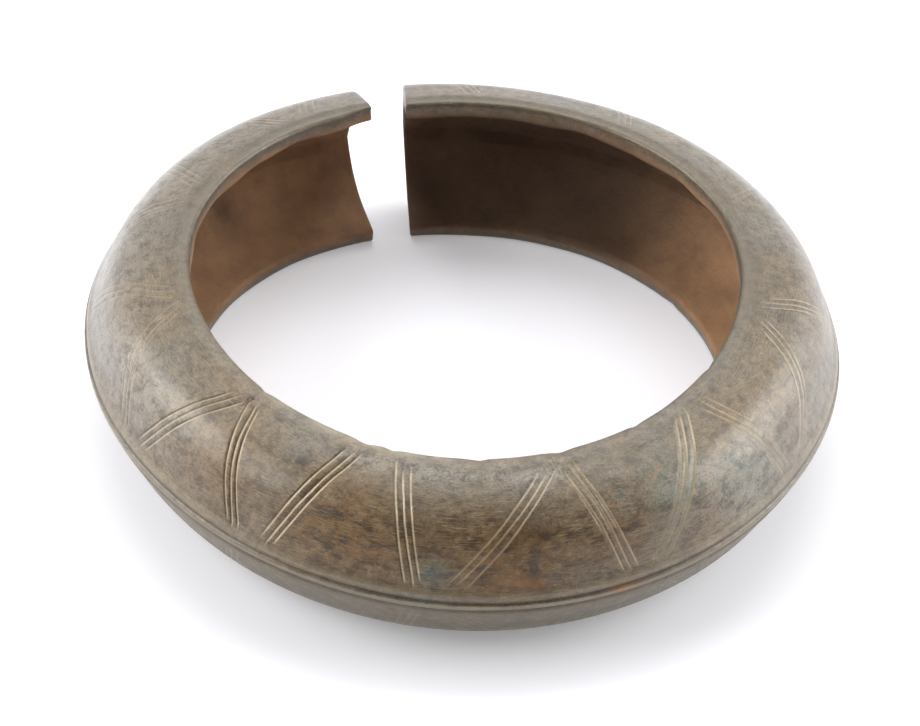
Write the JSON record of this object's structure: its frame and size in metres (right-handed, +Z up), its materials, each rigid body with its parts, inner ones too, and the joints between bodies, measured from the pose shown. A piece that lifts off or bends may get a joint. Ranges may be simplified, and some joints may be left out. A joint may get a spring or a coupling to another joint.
{
  "type": "open cast bangle",
  "caption": "Open cast-bronze currency bangle: hollow gutter section, rounded shoulders, raised cord round the crest, chased zigzag bands and a narrow gap between its ends.",
  "frame": {"origin": "on the ground plane under the ring's centre, with the ring lying flat on its lower lip", "axes": "+Z up through the ring's opening, +Y towards the middle of the gap"},
  "size_m": [0.09, 0.0898, 0.021],
  "materials": {
    "cast_ring": "aged brown-olive patina, worn lighter on edges and chased lines"
  },
  "bodies": {
    "root": {"cast_ring": "cast_ring"}
  },
  "joints": []
}
